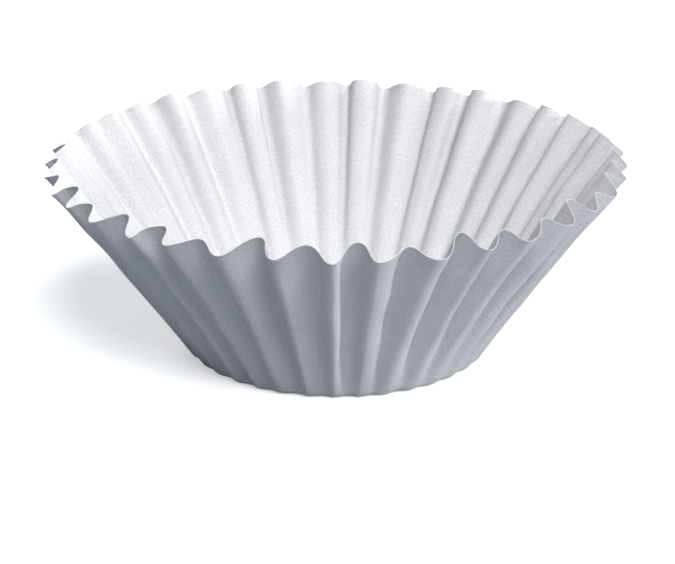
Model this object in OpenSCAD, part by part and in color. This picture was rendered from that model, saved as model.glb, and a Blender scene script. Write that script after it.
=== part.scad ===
// Basket coffee filter: one disc of filter paper, pressed into a fluted cup with a flat floor.
// The cup is worked out as folded paper. A ring of the disc keeps its length when it is drawn in
// to a smaller circle, so it has to fold into flutes, which start at nothing in the bend round
// the floor and are deepest at the rim. A line down the wall keeps its length too, so the folds
// that turn inwards climb more steeply and stand above the ones that bulge outwards.
// The floor's underside lies on Z = 0 and its centre is the origin. The front is on -Y.

/* [Paper] */
// Diameter of the flat disc that the cup is pressed from
disc_d = 216; // [190:1:250]
// Thickness of the paper
paper_t = 0.12; // [0.08:0.01:0.3]

/* [Cup] */
// Diameter of the flat floor, inside the bend
floor_d = 80; // [60:1:90]
// Radius of the bend between the floor and the wall
bend_r = 4; // [2:0.5:8]
// Slope of the wall just above the bend, in degrees from the floor
foot_slope = 60; // [52:1:68]
// Slope of the wall at the rim, in degrees from the floor
rim_slope = 53; // [48:1:66]
// How far the rim is out of round, as a share of its radius
out_of_round = 0.012; // [0:0.002:0.03]

/* [Flutes] */
// Number of flutes round the cup
flutes = 38; // [28:1:44]
// Direction of the first inward fold, in degrees from the front
first_fold = 3; // [0:0.5:10]
// Unevenness of the flutes where they start, as a share of their pitch
start_wander = 0.09; // [0:0.01:0.1]
// Further sideways wander of the flutes at the rim, as a share of their pitch
rim_wander = 0.09; // [0:0.01:0.1]
// Unevenness of the outward crests, as a share of their height
crest_wander = 0.2; // [0:0.01:0.25]
// Share of the slack paper that folds sideways, the rest goes into the rise of the inward folds
slack_share = 0.7; // [0.5:0.05:0.9]
// How much of that share is missing just above the bend, where the flutes start gently
foot_calm = 0.7; // [0:0.05:0.9]
// Length of wall over which the flutes then deepen
foot_reach = 9; // [3:0.5:20]

/* [Folds] */
// Lean of the folds at the front left, with the flank that rises towards +X the steeper one
front_left_lean = 0.45; // [-0.8:0.05:0.8]
// Lean of the folds at the back left
back_left_lean = 0.2; // [-0.8:0.05:0.8]
// Lean of the folds at the back right
back_right_lean = -0.1; // [-0.8:0.05:0.8]
// How flat the panels and how tight both creases are at the back left
back_left_panels = 0.45; // [0:0.05:0.8]
// How much tighter the outward creases are than the inward folds at the back
back_tightness = 0.35; // [-0.4:0.05:0.4]
// The same at the front, where the inward folds are the tighter ones
front_tightness = -0.2; // [-0.4:0.05:0.4]
// The same at the front left, where the outward creases are the tighter ones
front_left_tightness = 0.35; // [-0.4:0.05:0.4]

/* [Hidden] */
disc_r = disc_d / 2;
floor_r = floor_d / 2;
// Length of paper in the bend, and where on the disc it ends
bend_length = bend_r * foot_slope * PI / 180;
wall_start = floor_r + bend_length;
// Parts of the wall: direction of the middle, in degrees from the front, and how narrow it is
front_left = [-40, 7];
back_left = [-140, 6];
back_right = [135, 6];
panelled = [-130, 4];
back = [180, 3];
front = [20, 2];
// Unevenness of the flutes' lean, panels and tightness
form_wander = 0.2;
// Out-of-round form: turn of the oval, in degrees, and weight of a weaker three-lobed wave
oval_turn = 35;
three_lobes = 0.5;
// Mesh: points round each flute, bands in the bend and bands up the wall
flute_points = 10;
bend_bands = 2;
wall_bands = 4;
// Bands up the wall widen towards the rim by this power
band_growth = 1.2;
// Short steps between two mesh points, over which a flute's line is summed
substeps = 3;
// Halvings used to find how far a flute bends
halvings = 14;
// The most that a flute's line may turn from the ring's own direction, in degrees
most_turn = 120;
pitch = 360 / flutes;
points_round = flutes * flute_points;

// Distances from the disc's centre to each ring of mesh points, the first at the floor's edge
rings = concat(
    [for (band = [0 : bend_bands - 1]) floor_r + bend_length * band / bend_bands],
    [for (band = [0 : wall_bands])
        wall_start + (disc_r - wall_start) * pow(band / wall_bands, band_growth)]
);

// Profile of the cup: the mean radius at which a ring of the disc comes to lie
function radius_in_bend(ring) =
    floor_r + bend_r * sin((ring - floor_r) / bend_r * 180 / PI);
function slope_at(ring) =
    foot_slope + (rim_slope - foot_slope) * (ring - wall_start) / (disc_r - wall_start);
// Half of the change of slope below a ring, in radians, makes the wall's chord a little shorter
function half_turn(ring) = (foot_slope - slope_at(ring)) / 2 * PI / 180;
function radius_on_wall(ring) =
    radius_in_bend(wall_start)
    + (ring - wall_start) * cos((foot_slope + slope_at(ring)) / 2) * (1 - pow(half_turn(ring), 2) / 6);
function mean_radius(ring) =
    ring <= floor_r ? ring : ring < wall_start ? radius_in_bend(ring) : radius_on_wall(ring);

// Slack: how much more paper a ring has than the circle that it is drawn in to
function slack(ring) = ring / mean_radius(ring) - 1;
// Share of the rim's slack that a ring has, 0 at the floor and 1 at the rim
function slack_at_rim_share(ring) = slack(ring) / slack(disc_r);
// Share of a ring's slack that folds sideways: less just above the bend than up the wall
function fold_share(ring) =
    slack_share * (1 - foot_calm * exp(-max(0, ring - wall_start) / foot_reach));

// Small unevenness that is fixed for each flute, between -1 and 1
function uneven(flute, seed) =
    let (place = (flute + flutes) % flutes)
    0.6 * sin(place * 137.5 + seed * 71) + 0.4 * sin(place * 222.3 + seed * 193);
// How much a direction belongs to a part of the wall: 1 at its middle, falling to 0 opposite
function belongs(angle, part) = pow((1 + cos(angle - part[0])) / 2, part[1]);

// Direction of the outward crest before a flute, on the disc and where it comes to lie
function crest_on_disc(flute) =
    first_fold + pitch * (flute - 0.5 + start_wander * uneven(flute, 1));
function crest_in_place(flute, ring) =
    crest_on_disc(flute) + pitch * rim_wander * uneven(flute, 2) * slack_at_rim_share(ring);

// Form of one flute's fold line: how it turns at each phase, from crest (90) to crest (450)
function fold_form(phase, lean, panels, tightness) =
    cos(phase) - panels / 3 * cos(3 * phase)
    + tightness * sin(2 * phase) + lean * (1 + cos(2 * phase)) / 2;
// Lean, flatness of the panels and tightness of the outward creases of one flute
function flute_form(flute) =
    let (angle = crest_on_disc(flute) + pitch / 2)
    [
        front_left_lean * belongs(angle, front_left) + back_left_lean * belongs(angle, back_left)
            + back_right_lean * belongs(angle, back_right) + form_wander * uneven(flute, 4),
        back_left_panels * belongs(angle, panelled) + form_wander / 2 * (1 + uneven(flute, 5)),
        back_tightness * belongs(angle, back) + front_tightness * belongs(angle, front)
            + front_left_tightness * belongs(angle, front_left) + form_wander * uneven(flute, 6)
    ];
function turns(form, turn) = [
    for (step = [0 : flute_points * substeps - 1])
        turn * fold_form(90 + (step + 0.5) * 360 / (flute_points * substeps), form[0], form[1], form[2])
];
function mean(list) = list * [for (item = list) 1] / len(list);
// Share of its paper length that a flute spans when it turns this far
function span_share(form, turn) = mean([for (angle = turns(form, turn)) cos(angle)]);
// The turn at which a flute spans the wanted share, found by halving
function turn_for(share, form, low = 0, high = most_turn, left = halvings) =
    left <= 0 ? (low + high) / 2
    : span_share(form, (low + high) / 2) > share
        ? turn_for(share, form, (low + high) / 2, high, left - 1)
        : turn_for(share, form, low, (low + high) / 2, left - 1);

// Running totals of a list, starting from nothing
function running(list) = [
    for (item = 0, total = 0; item <= len(list);
         total = total + (item < len(list) ? list[item] : 0), item = item + 1) total
];
// Smooth step from 0 to 1 along a flute, flat at both crests
function ease(share) = share - sin(360 * share) / (2 * PI);

// Height of the outward crests above the mean radius
function crest_height(ring) =
    let (even_share = 1 / (1 + fold_share(ring) * slack(ring)),
         bend = sqrt(max(0, 4 * (1 - even_share))))
    ring / flutes * bend * (1 - bend * bend / 8);
function crest_before(flute, ring) = crest_height(ring) * (1 + crest_wander * uneven(flute, 7));

// Mean radius in one direction: the rim is a little out of round
function radius_here(ring, angle) =
    mean_radius(ring)
    * (1 + out_of_round * slack_at_rim_share(ring)
        * (cos(2 * angle + oval_turn) + three_lobes * sin(3 * angle)));

// Points of one flute on one ring as seen from above, without the crest that ends it
function flute_line(flute, ring) =
    let (from = crest_in_place(flute, ring),
         to = crest_in_place(flute + 1, ring),
         paper = (crest_on_disc(flute + 1) - crest_on_disc(flute)) * PI / 180 * ring,
         span = (to - from) * PI / 180 * mean_radius(ring),
         plan = span * (1 + fold_share(ring) * max(0, paper / span - 1)),
         form = flute_form(flute),
         turned = turns(form, turn_for(span / plan, form)),
         step = plan / len(turned),
         along = running([for (angle = turned) step * cos(angle)]),
         out = running([for (angle = turned) step * sin(angle)]),
         last = len(turned),
         start = crest_before(flute, ring),
         drift = crest_before(flute + 1, ring) - start - out[last])
    [for (point = [0 : flute_points - 1])
        let (index = point * substeps,
             angle = from + (to - from) * along[index] / along[last],
             radius = radius_here(ring, angle) + start + out[index] + drift * ease(index / last))
        radius * [sin(angle), -cos(angle)]
    ];
function ring_plan(ring) = [for (flute = [0 : flutes - 1]) each flute_line(flute, ring)];

// Height gained from one ring to the next, so that the paper between them keeps its length
function rise(paper, from, to) =
    let (across = norm([to[0] - from[0], to[1] - from[1]]))
    sqrt(max(0, paper * paper - across * across));
function next_ring(below, ring_below, ring) =
    let (plan = ring_plan(ring))
    [for (point = [0 : points_round - 1])
        [plan[point][0], plan[point][1],
         below[point][2] + rise(ring - ring_below, below[point], plan[point])]
    ];

// Middle of the paper's thickness, ring by ring
floor_edge = [for (point = ring_plan(floor_r)) [point[0], point[1], paper_t / 2]];
sheet = [
    for (band = 0, ring = floor_edge; band < len(rings);
         band = band + 1,
         ring = band < len(rings) ? next_ring(ring, rings[band - 1], rings[band]) : ring) ring
];

// Directions square to the paper, pointing out of the cup
function square_to(band, point) =
    let (after = sheet[band][(point + 1) % points_round],
         before = sheet[band][(point + points_round - 1) % points_round],
         above = sheet[min(band + 1, len(rings) - 1)][point],
         below = sheet[max(band - 1, 0)][point],
         normal = cross(after - before, above - below))
    band == 0 ? [0, 0, -1] : normal / norm(normal);
function skin(side) = [
    for (band = [0 : len(rings) - 1], point = [0 : points_round - 1])
        sheet[band][point] + side * paper_t / 2 * square_to(band, point)
];

// Faces of a skin of rings, with its first point at the given place in the list of points
function bands_of(first) = [
    for (band = [0 : len(rings) - 2], point = [0 : points_round - 1])
        let (next = (point + 1) % points_round,
             low = first + band * points_round,
             high = low + points_round)
        each [[low + point, high + point, high + next], [low + point, high + next, low + next]]
];
function fan_of(first, centre) = [
    for (point = [0 : points_round - 1]) [centre, first + point, first + (point + 1) % points_round]
];
function turned_over(faces) = [for (face = faces) [face[2], face[1], face[0]]];

module filter_paper() {
    outside = skin(1);
    inside = skin(-1);
    inside_first = len(outside);
    underside_centre = 2 * len(outside);
    rim_outside = (len(rings) - 1) * points_round;
    rim_inside = rim_outside + inside_first;
    rim = [
        for (point = [0 : points_round - 1])
            let (next = (point + 1) % points_round)
            each [
                [rim_outside + point, rim_inside + point, rim_inside + next],
                [rim_outside + point, rim_inside + next, rim_outside + next]
            ]
    ];
    color("whitesmoke")
        polyhedron(
            points = concat(outside, inside, [[0, 0, 0], [0, 0, paper_t]]),
            faces = concat(
                bands_of(0),
                fan_of(0, underside_centre),
                turned_over(concat(bands_of(inside_first), fan_of(inside_first, underside_centre + 1))),
                rim
            )
        );
}

filter_paper();
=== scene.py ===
import math

import bpy
import numpy as np
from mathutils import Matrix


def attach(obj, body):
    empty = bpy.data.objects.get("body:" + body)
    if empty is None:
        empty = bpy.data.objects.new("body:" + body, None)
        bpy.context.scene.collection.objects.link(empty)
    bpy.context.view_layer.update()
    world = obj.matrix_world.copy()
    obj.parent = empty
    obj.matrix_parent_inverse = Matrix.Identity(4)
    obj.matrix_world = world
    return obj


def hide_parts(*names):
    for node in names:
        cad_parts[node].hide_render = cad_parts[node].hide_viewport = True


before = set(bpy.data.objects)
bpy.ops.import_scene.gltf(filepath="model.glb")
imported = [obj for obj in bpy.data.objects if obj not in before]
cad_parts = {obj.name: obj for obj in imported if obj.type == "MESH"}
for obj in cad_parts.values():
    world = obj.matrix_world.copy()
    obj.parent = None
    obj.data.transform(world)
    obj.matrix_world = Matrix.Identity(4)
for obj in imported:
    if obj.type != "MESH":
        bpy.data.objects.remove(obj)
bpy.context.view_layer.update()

# The paper sheet
# A basket filter is one disc of thin white filter paper. It is cut flat, then pressed over a ribbed
# former, which folds the slack of its outer part into flutes and leaves the floor flat.
MM = 0.001
DISC_RADIUS = 108.0
PAPER_THICKNESS = 0.12
FLOOR_RADIUS = 40.0
BEND_RADIUS = 4.0
FOOT_SLOPE = 60.0
RIM_SLOPE = 53.0
BEND_LENGTH = BEND_RADIUS * math.radians(FOOT_SLOPE)
WALL_START = FLOOR_RADIUS + BEND_LENGTH
OUT_OF_ROUND = 0.012
OVAL_TURN = 35
THREE_LOBES = 0.5
CRUMPLE = 0.3

# Flutes: how many, how much of the slack they take, and how unlike each other they are
FLUTES = 38
PITCH = 360.0 / FLUTES
FIRST_FOLD = 3.0
SLACK_SHARE = 0.7
FOOT_CALM = 0.7
FOOT_REACH = 9.0
START_WANDER = 0.09
RIM_WANDER = 0.09
CREST_WANDER = 0.2
FORM_WANDER = 0.2
START_SEED, RIM_SEED, LEAN_SEED, PANEL_SEED, TIGHTNESS_SEED, CREST_SEED = 1, 2, 4, 5, 6, 7

# Parts of the cup where the flutes have a form of their own: the direction of the part's middle, in
# degrees from the front towards the right, and how narrow the part is
FRONT = (20, 2)
FRONT_LEFT = (-40, 7)
BACK_LEFT = (-140, 6)
BACK_LEFT_WIDE = (-130, 4)
BACK_RIGHT = (135, 6)
BACK = (180, 3)
FRONT_LEFT_LEAN = 0.45
BACK_LEFT_LEAN = 0.2
BACK_RIGHT_LEAN = -0.1
BACK_LEFT_PANELS = 0.45
BACK_TIGHTNESS = 0.35
FRONT_TIGHTNESS = -0.2
FRONT_LEFT_TIGHTNESS = 0.35

# Mesh of the disc: the steps in which each flute's line is worked out, the points round the disc,
# and the rings of points across the floor, the bend and the wall
STEPS_PER_FLUTE = 96
POINTS_PER_FLUTE = 24
POINTS_ROUND = FLUTES * POINTS_PER_FLUTE
FLOOR_RINGS = [2.0, 10.0, 18.0, 26.0, 32.0, 37.0]
BEND_BANDS = 7
WALL_BANDS = 32
ring_radii = np.concatenate([
    FLOOR_RINGS,
    FLOOR_RADIUS + BEND_LENGTH * np.arange(BEND_BANDS) / BEND_BANDS,
    WALL_START + (DISC_RADIUS - WALL_START) * np.arange(WALL_BANDS + 1) / WALL_BANDS,
])


def cut_disc(name):
    """A flat disc of paper, as a centre fan and rings that are extruded outwards one by one."""
    bpy.ops.object.select_all(action="DESELECT")
    bpy.ops.mesh.primitive_circle_add(
        vertices=POINTS_ROUND, radius=ring_radii[0] * MM, fill_type="TRIFAN")
    disc = bpy.context.object
    disc.name = name
    bpy.ops.object.mode_set(mode="EDIT")
    bpy.ops.mesh.select_mode(type="EDGE")
    bpy.ops.mesh.select_all(action="SELECT")
    bpy.ops.mesh.region_to_loop()
    for inner, outer in zip(ring_radii[:-1], ring_radii[1:]):
        bpy.ops.mesh.extrude_edges_move()
        bpy.ops.transform.resize(value=(outer / inner, outer / inner, 1.0))
    bpy.ops.mesh.select_all(action="SELECT")
    bpy.ops.mesh.normals_make_consistent(inside=False)
    bpy.ops.object.mode_set(mode="OBJECT")
    return disc


def slope_at(ring):
    """Slope of the wall, in degrees from the floor, where a ring of the disc comes to lie."""
    return FOOT_SLOPE + (RIM_SLOPE - FOOT_SLOPE) * (ring - WALL_START) / (DISC_RADIUS - WALL_START)


def mean_radius(ring):
    """Mean radius that a ring of the disc is drawn in to."""
    bend_angle = np.clip((ring - FLOOR_RADIUS) / BEND_RADIUS, 0.0, math.radians(FOOT_SLOPE))
    in_bend = FLOOR_RADIUS + BEND_RADIUS * np.sin(bend_angle)
    half_turn = np.radians(FOOT_SLOPE - slope_at(ring)) / 2
    mid_slope = np.radians((FOOT_SLOPE + slope_at(ring)) / 2)
    on_wall = in_bend + (ring - WALL_START) * np.cos(mid_slope) * (1 - half_turn ** 2 / 6)
    return np.where(ring <= FLOOR_RADIUS, ring, np.where(ring < WALL_START, in_bend, on_wall))


def slack(ring):
    """How much more paper a ring has than the circle that it is drawn in to."""
    return ring / mean_radius(ring) - 1


def fold_share(ring):
    """Share of a ring's slack that folds sideways: less just above the bend than up the wall."""
    return SLACK_SHARE * (1 - FOOT_CALM * np.exp(-np.maximum(0.0, ring - WALL_START) / FOOT_REACH))


def uneven(flute, seed):
    """Small unevenness that is fixed for each flute, between -1 and 1."""
    place = np.mod(flute, FLUTES)
    total = 0.0
    for height, turn_by_flute, turn_by_seed in ((0.6, 137.5, 71), (0.4, 222.3, 193)):
        total = total + height * np.sin(np.radians(place * turn_by_flute + seed * turn_by_seed))
    return total


def region(angle, middle, narrowness):
    """A part of the cup: 1 at its middle direction, falling to 0 on the far side."""
    return ((1 + np.cos(np.radians(angle - middle))) / 2) ** narrowness


def crest_on_disc(flute):
    """Direction on the flat disc of the outward crest before a flute, in degrees from the front."""
    return FIRST_FOLD + PITCH * (flute - 0.5 + START_WANDER * uneven(flute, START_SEED))


def flute_turns(flute):
    """How sharply the line of each flute turns, step by step from crest to crest."""
    angle = crest_on_disc(flute) + PITCH / 2
    lean = (FRONT_LEFT_LEAN * region(angle, *FRONT_LEFT)
            + BACK_LEFT_LEAN * region(angle, *BACK_LEFT)
            + BACK_RIGHT_LEAN * region(angle, *BACK_RIGHT)
            + FORM_WANDER * uneven(flute, LEAN_SEED))
    panels = (BACK_LEFT_PANELS * region(angle, *BACK_LEFT_WIDE)
              + FORM_WANDER / 2 * (1 + uneven(flute, PANEL_SEED)))
    tightness = (BACK_TIGHTNESS * region(angle, *BACK)
                 + FRONT_TIGHTNESS * region(angle, *FRONT)
                 + FRONT_LEFT_TIGHTNESS * region(angle, *FRONT_LEFT)
                 + FORM_WANDER * uneven(flute, TIGHTNESS_SEED))
    steps = np.arange(STEPS_PER_FLUTE)
    phase = np.radians(90 + (steps + 0.5) * 360 / STEPS_PER_FLUTE)[None, :]
    # An even wave, then flatter panels, then tighter outward creases, then one flank steeper
    return (np.cos(phase) - panels[:, None] / 3 * np.cos(3 * phase)
            + tightness[:, None] * np.sin(2 * phase)
            + lean[:, None] * (1 + np.cos(2 * phase)) / 2)


def turn_for(share, form, halvings=22, most_turn=120.0):
    """The turn at which each flute's line spans the wanted share of its paper, by halving."""
    low = np.zeros(share.shape)
    high = np.full(share.shape, math.radians(most_turn))
    for _ in range(halvings):
        middle = (low + high) / 2
        spans = np.cos(middle[:, :, None] * form[None, :, :]).mean(axis=2)
        low = np.where(spans > share, middle, low)
        high = np.where(spans > share, high, middle)
    return (low + high) / 2


def running(values):
    """Running totals along the last axis, starting from nothing."""
    start = np.zeros(values.shape[:-1] + (1,))
    return np.concatenate([start, np.cumsum(values, axis=-1)], axis=-1)


def crumple(angle, ring):
    """Slight waves of a soft sheet that has been handled, between about -1 and 1."""
    # Each wave: turns round the cup, length up the wall in mm, phase and height
    waves = [(5, 61, 0.4, 0.30), (11, 37, 2.1, 0.28), (19, 29, 4.0, 0.24), (31, -23, 1.2, 0.18),
             (43, 17, 5.3, 0.14), (7, -19, 3.3, 0.20), (57, -13, 0.9, 0.08)]
    total = 0.0
    for turns, length, phase, height in waves:
        place = np.radians(turns * angle) + 2 * math.pi * ring / length + phase
        total = total + height * np.sin(place)
    return total


def pressed_sheet():
    """Where the points of the flat disc lie after pressing, in mm: [ring, point round it, xyz]."""
    flute = np.arange(FLUTES)
    ring = ring_radii[:, None]
    radius = mean_radius(ring)
    rim_share = slack(ring) / slack(DISC_RADIUS)

    def crest_in_place(which):
        wander = RIM_WANDER * uneven(which, RIM_SEED)
        return crest_on_disc(which) + PITCH * wander * rim_share

    # Each flute's line in plan: its paper folds until it spans the room between its two crests
    start_angle = crest_in_place(flute)
    end_angle = crest_in_place(flute + 1)
    paper_length = np.radians(crest_on_disc(flute + 1) - crest_on_disc(flute)) * ring
    span = np.radians(end_angle - start_angle) * radius
    plan_length = span * (1 + fold_share(ring) * np.maximum(0.0, paper_length / span - 1))
    form = flute_turns(flute)
    turned = turn_for(span / plan_length, form)[:, :, None] * form[None, :, :]
    along = running(np.cos(turned)) / STEPS_PER_FLUTE * plan_length[:, :, None]
    out = running(np.sin(turned)) / STEPS_PER_FLUTE * plan_length[:, :, None]

    # How far each crest stands out of the mean circle
    even_share = 1 / (1 + fold_share(ring) * slack(ring))
    bend = np.sqrt(np.maximum(0.0, 4 * (1 - even_share)))
    crest_height = ring / FLUTES * bend * (1 - bend ** 2 / 8)
    start_height = crest_height * (1 + CREST_WANDER * uneven(flute, CREST_SEED))
    end_height = crest_height * (1 + CREST_WANDER * uneven(flute + 1, CREST_SEED))
    drift = end_height - start_height - out[:, :, -1]

    # The flute that each point of the disc belongs to, and its place between the two crests
    disc_angle = np.arange(POINTS_ROUND) * 360 / POINTS_ROUND
    crests = crest_on_disc(np.arange(FLUTES + 1))
    turned_angle = crests[0] + np.mod(disc_angle - crests[0], 360)
    which = np.clip(np.searchsorted(crests, turned_angle, side="right") - 1, 0, FLUTES - 1)
    part = (turned_angle - crests[which]) / (crests[which + 1] - crests[which])
    index = np.minimum((part * STEPS_PER_FLUTE).astype(int), STEPS_PER_FLUTE - 1)
    between = part * STEPS_PER_FLUTE - index
    rows = np.arange(len(ring_radii))[:, None]

    def at_points(values):
        return values[rows, which, index] * (1 - between) + values[rows, which, index + 1] * between

    ease = part - np.sin(2 * math.pi * part) / (2 * math.pi)
    angle = start_angle[:, which] + (end_angle - start_angle)[:, which] * (
        at_points(along) / along[:, :, -1][:, which])
    round_share = OUT_OF_ROUND * rim_share * (
        np.cos(np.radians(2 * angle + OVAL_TURN)) + THREE_LOBES * np.sin(np.radians(3 * angle)))
    reach = (radius * (1 + round_share) + start_height[:, which] + at_points(out)
             + drift[:, which] * ease + CRUMPLE * rim_share * crumple(disc_angle, ring))
    x = reach * np.sin(np.radians(angle))
    y = -reach * np.cos(np.radians(angle))

    # A line up the wall keeps its length, so what it doesn't run sideways it rises
    across = np.hypot(np.diff(x, axis=0), np.diff(y, axis=0))
    rise = np.sqrt(np.maximum(0.0, np.diff(ring_radii)[:, None] ** 2 - across ** 2))
    rise[ring_radii[1:] <= FLOOR_RADIUS] = 0.0
    z = np.concatenate([np.zeros((1, POINTS_ROUND)), np.cumsum(rise, axis=0)]) + PAPER_THICKNESS / 2
    return np.stack([x, y, z], axis=2)


def press(disc):
    """Moves each point of the flat disc to where pressing takes it."""
    count = len(disc.data.vertices)
    flat = np.empty(count * 3)
    disc.data.vertices.foreach_get("co", flat)
    flat = flat.reshape(count, 3) / MM
    distance = np.hypot(flat[:, 0], flat[:, 1])
    around = np.mod(np.degrees(np.arctan2(flat[:, 0], -flat[:, 1])), 360)
    ring = np.abs(distance[:, None] - ring_radii[None, :]).argmin(axis=1)
    point = np.mod(np.rint(around * POINTS_ROUND / 360).astype(int), POINTS_ROUND)
    pressed = pressed_sheet()[ring, point]
    pressed[distance < ring_radii[0] / 2] = (0.0, 0.0, PAPER_THICKNESS / 2)
    disc.data.vertices.foreach_set("co", (pressed * MM).ravel())
    disc.data.update()


def mark_flat_place(disc):
    """Keeps each point's place on the flat disc as a UV map, in metres, for the paper's texture."""
    layer = disc.data.uv_layers.active or disc.data.uv_layers.new(name="flat_sheet")
    layer.name = "flat_sheet"
    for loop in disc.data.loops:
        place = disc.data.vertices[loop.vertex_index].co
        layer.data[loop.index].uv = (place.x, place.y)


# Sockets of a colour Mix node. Its share goes from 0, the first colour, to 1, the second.
MIX_SHARE, MIX_FIRST, MIX_SECOND, MIX_RESULT = 0, 6, 7, 2


def colour_mix(tree, share, first, second):
    """A colour from the first to the second, each written or from a socket."""
    mix = tree.nodes.new("ShaderNodeMix")
    mix.data_type = "RGBA"
    tree.links.new(share, mix.inputs[MIX_SHARE])
    for socket, colour in ((MIX_FIRST, first), (MIX_SECOND, second)):
        if isinstance(colour, tuple):
            mix.inputs[socket].default_value = (*colour, 1)
        else:
            tree.links.new(colour, mix.inputs[socket])
    return mix.outputs[MIX_RESULT]


def filter_paper_material():
    """White filter paper: matt, faintly cloudy, with a fine felt of fibres."""
    warm_white = (0.805, 0.79, 0.8)
    cool_white = (0.79, 0.785, 0.81)
    black = (0.0, 0.0, 0.0)
    noise_low, noise_high = 0.3, 0.7
    material = bpy.data.materials.new("filter_paper")
    material.use_nodes = True
    tree = material.node_tree
    nodes = tree.nodes
    links = tree.links
    shader = nodes["Principled BSDF"]
    shader.inputs["Specular IOR Level"].default_value = 0.2
    place = nodes.new("ShaderNodeUVMap")
    place.uv_map = "flat_sheet"

    def noise(scale, detail, roughness):
        texture = nodes.new("ShaderNodeTexNoise")
        texture.inputs["Scale"].default_value = scale
        texture.inputs["Detail"].default_value = detail
        texture.inputs["Roughness"].default_value = roughness
        links.new(place.outputs["UV"], texture.inputs["Vector"])
        return texture.outputs["Fac"]

    def mapped(value, low, high):
        spread = nodes.new("ShaderNodeMapRange")
        spread.inputs["From Min"].default_value = noise_low
        spread.inputs["From Max"].default_value = noise_high
        spread.inputs["To Min"].default_value = low
        spread.inputs["To Max"].default_value = high
        links.new(value, spread.inputs["Value"])
        return spread.outputs["Result"]

    def worked_out(operation, first, second):
        node = nodes.new("ShaderNodeMath")
        node.operation = operation
        links.new(first, node.inputs[0])
        links.new(second, node.inputs[1])
        return node.outputs["Value"]

    clouds = noise(scale=130.0, detail=3.0, roughness=0.5)
    flecks = noise(scale=1300.0, detail=5.0, roughness=0.6)
    fibres = noise(scale=3400.0, detail=5.0, roughness=0.7)
    shade = worked_out("MULTIPLY", mapped(clouds, 0.97, 1.0), mapped(flecks, 0.79, 1.0))
    white = colour_mix(tree, mapped(clouds, 0.0, 1.0), warm_white, cool_white)
    links.new(colour_mix(tree, shade, black, white), shader.inputs["Base Color"])
    links.new(mapped(flecks, 0.82, 0.97), shader.inputs["Roughness"])
    felt = worked_out("ADD", mapped(fibres, 0.0, 1.0), mapped(flecks, 0.0, 1.4))
    bump = nodes.new("ShaderNodeBump")
    bump.inputs["Strength"].default_value = 0.4
    bump.inputs["Distance"].default_value = 0.2 * MM
    links.new(felt, bump.inputs["Height"])
    links.new(bump.outputs["Normal"], shader.inputs["Normal"])
    return material


SHARPEST_SMOOTH_FOLD = 60
paper = cut_disc("pressed_paper")
mark_flat_place(paper)
press(paper)
thickness = paper.modifiers.new("paper_thickness", "SOLIDIFY")
thickness.thickness = PAPER_THICKNESS * MM
thickness.offset = 0.0
bpy.ops.object.modifier_apply(modifier=thickness.name)
bpy.ops.object.shade_smooth_by_angle(angle=math.radians(SHARPEST_SMOOTH_FOLD))
paper.data.materials.append(filter_paper_material())
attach(paper, "root")
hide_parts("filter_paper")

# Table top
# A plain pale surface under the cup, white to the camera and a soft grey to the light that it
# throws back on to the paper. It keeps the cup's shadow.
TABLE_WIDTH = 6.0
TABLE_GREY = (0.34, 0.37, 0.405)
WHITE = (1.0, 1.0, 1.0)

# The glow that keeps the far table white: its distance from the cup in metres, and its strength
GLOW_NEAR = (0.1, 0.5)
GLOW_FAR = (0.6, 0.8)


def table_material():
    """A dull grey that the camera sees as white, with a glow that is weaker near the cup."""
    material = bpy.data.materials.new("table_top")
    material.use_nodes = True
    tree = material.node_tree
    nodes = tree.nodes
    links = tree.links
    shader = nodes["Principled BSDF"]
    shader.inputs["Roughness"].default_value = 1.0
    shader.inputs["Specular IOR Level"].default_value = 0.0
    to_camera = nodes.new("ShaderNodeLightPath").outputs["Is Camera Ray"]
    links.new(colour_mix(tree, to_camera, TABLE_GREY, WHITE), shader.inputs["Base Color"])
    shader.inputs["Emission Color"].default_value = (*WHITE, 1)
    place = nodes.new("ShaderNodeTexCoord")
    distance = nodes.new("ShaderNodeVectorMath")
    distance.operation = "LENGTH"
    links.new(place.outputs["Object"], distance.inputs[0])
    fade = nodes.new("ShaderNodeMapRange")
    fade.interpolation_type = "SMOOTHSTEP"
    fade.inputs["From Min"].default_value, fade.inputs["To Min"].default_value = GLOW_NEAR
    fade.inputs["From Max"].default_value, fade.inputs["To Max"].default_value = GLOW_FAR
    links.new(distance.outputs["Value"], fade.inputs["Value"])
    glow = nodes.new("ShaderNodeMath")
    glow.operation = "MULTIPLY"
    links.new(to_camera, glow.inputs[0])
    links.new(fade.outputs["Result"], glow.inputs[1])
    links.new(glow.outputs["Value"], shader.inputs["Emission Strength"])
    return material


bpy.ops.object.select_all(action="DESELECT")
bpy.ops.mesh.primitive_plane_add(size=TABLE_WIDTH, location=(0, 0, 0))
table = bpy.context.object
table.name = "table_top"
table.data.materials.append(table_material())

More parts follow.
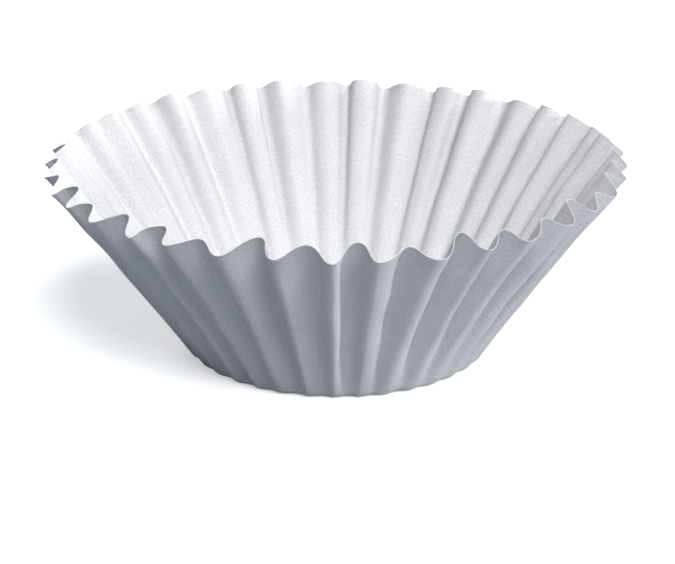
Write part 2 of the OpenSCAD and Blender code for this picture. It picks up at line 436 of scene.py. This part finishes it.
# Studio light
# Soft lamps high in front and high on the right, so that the flutes of the inside show as bright
# and grey bands. A low lamp on the right grazes the outer wall, which else falls into a cool grey.
# A weak lamp behind and a weak even sky fill the rest.
SKY_GREY = (0.098, 0.12, 0.143)
CUP_MIDDLE = (0.0, 0.0, 0.03)
world = bpy.data.worlds.new("studio")
bpy.context.scene.world = world
world.use_nodes = True
sky_to_camera = world.node_tree.nodes.new("ShaderNodeLightPath").outputs["Is Camera Ray"]
world.node_tree.links.new(
    colour_mix(world.node_tree, sky_to_camera, SKY_GREY, WHITE),
    world.node_tree.nodes["Background"].inputs["Color"])


def soft_lamp(name, place, size, power):
    """A square soft lamp at a place, turned to the cup, in metres and watts."""
    bpy.ops.object.light_add(type="AREA", location=place)
    lamp = bpy.context.object
    lamp.name = name
    lamp.data.shape = "SQUARE"
    lamp.data.size = size
    lamp.data.energy = power
    toward = np.array(CUP_MIDDLE) - np.array(place)
    lamp.rotation_euler = (
        math.atan2(math.hypot(toward[0], toward[1]), -toward[2]), 0.0,
        math.atan2(toward[1], toward[0]) - math.pi / 2)


soft_lamp("key_lamp", place=(0.38, -1.25, 1.45), size=0.8, power=34.0)
soft_lamp("right_lamp", place=(1.1, 0.2, 1.3), size=0.8, power=12.5)
soft_lamp("side_lamp", place=(2.1, -0.4, 0.15), size=0.25, power=20.0)
soft_lamp("back_lamp", place=(-0.6, 1.6, 0.9), size=0.8, power=7.0)

# Camera
# It looks down on the rim by about 17 degrees from the front, as the photograph does.
CAMERA_DISTANCE = 0.495
RIM_ELEVATION = 17.0
PIXELS_PER_MM = 3.6
IMAGE_WIDTH = 675
SENSOR_WIDTH = 36.0
RIM_HEIGHT = 0.054
AIM_BELOW_RIM = 4.0
NEAREST_SEEN = 0.01
FURTHEST_SEEN = 20.0
bpy.ops.object.camera_add(location=(
    0.0,
    -CAMERA_DISTANCE * math.cos(math.radians(RIM_ELEVATION)),
    RIM_HEIGHT + CAMERA_DISTANCE * math.sin(math.radians(RIM_ELEVATION)),
))
camera = bpy.context.object
camera.name = "camera"
camera.rotation_euler = (math.radians(90 - RIM_ELEVATION - AIM_BELOW_RIM), 0.0, 0.0)
camera.data.sensor_width = SENSOR_WIDTH
focal_pixels = PIXELS_PER_MM * CAMERA_DISTANCE / MM
camera.data.lens = focal_pixels / IMAGE_WIDTH * SENSOR_WIDTH
camera.data.clip_start = NEAREST_SEEN
camera.data.clip_end = FURTHEST_SEEN
bpy.context.scene.camera = camera
bpy.context.scene.view_settings.view_transform = "Standard"
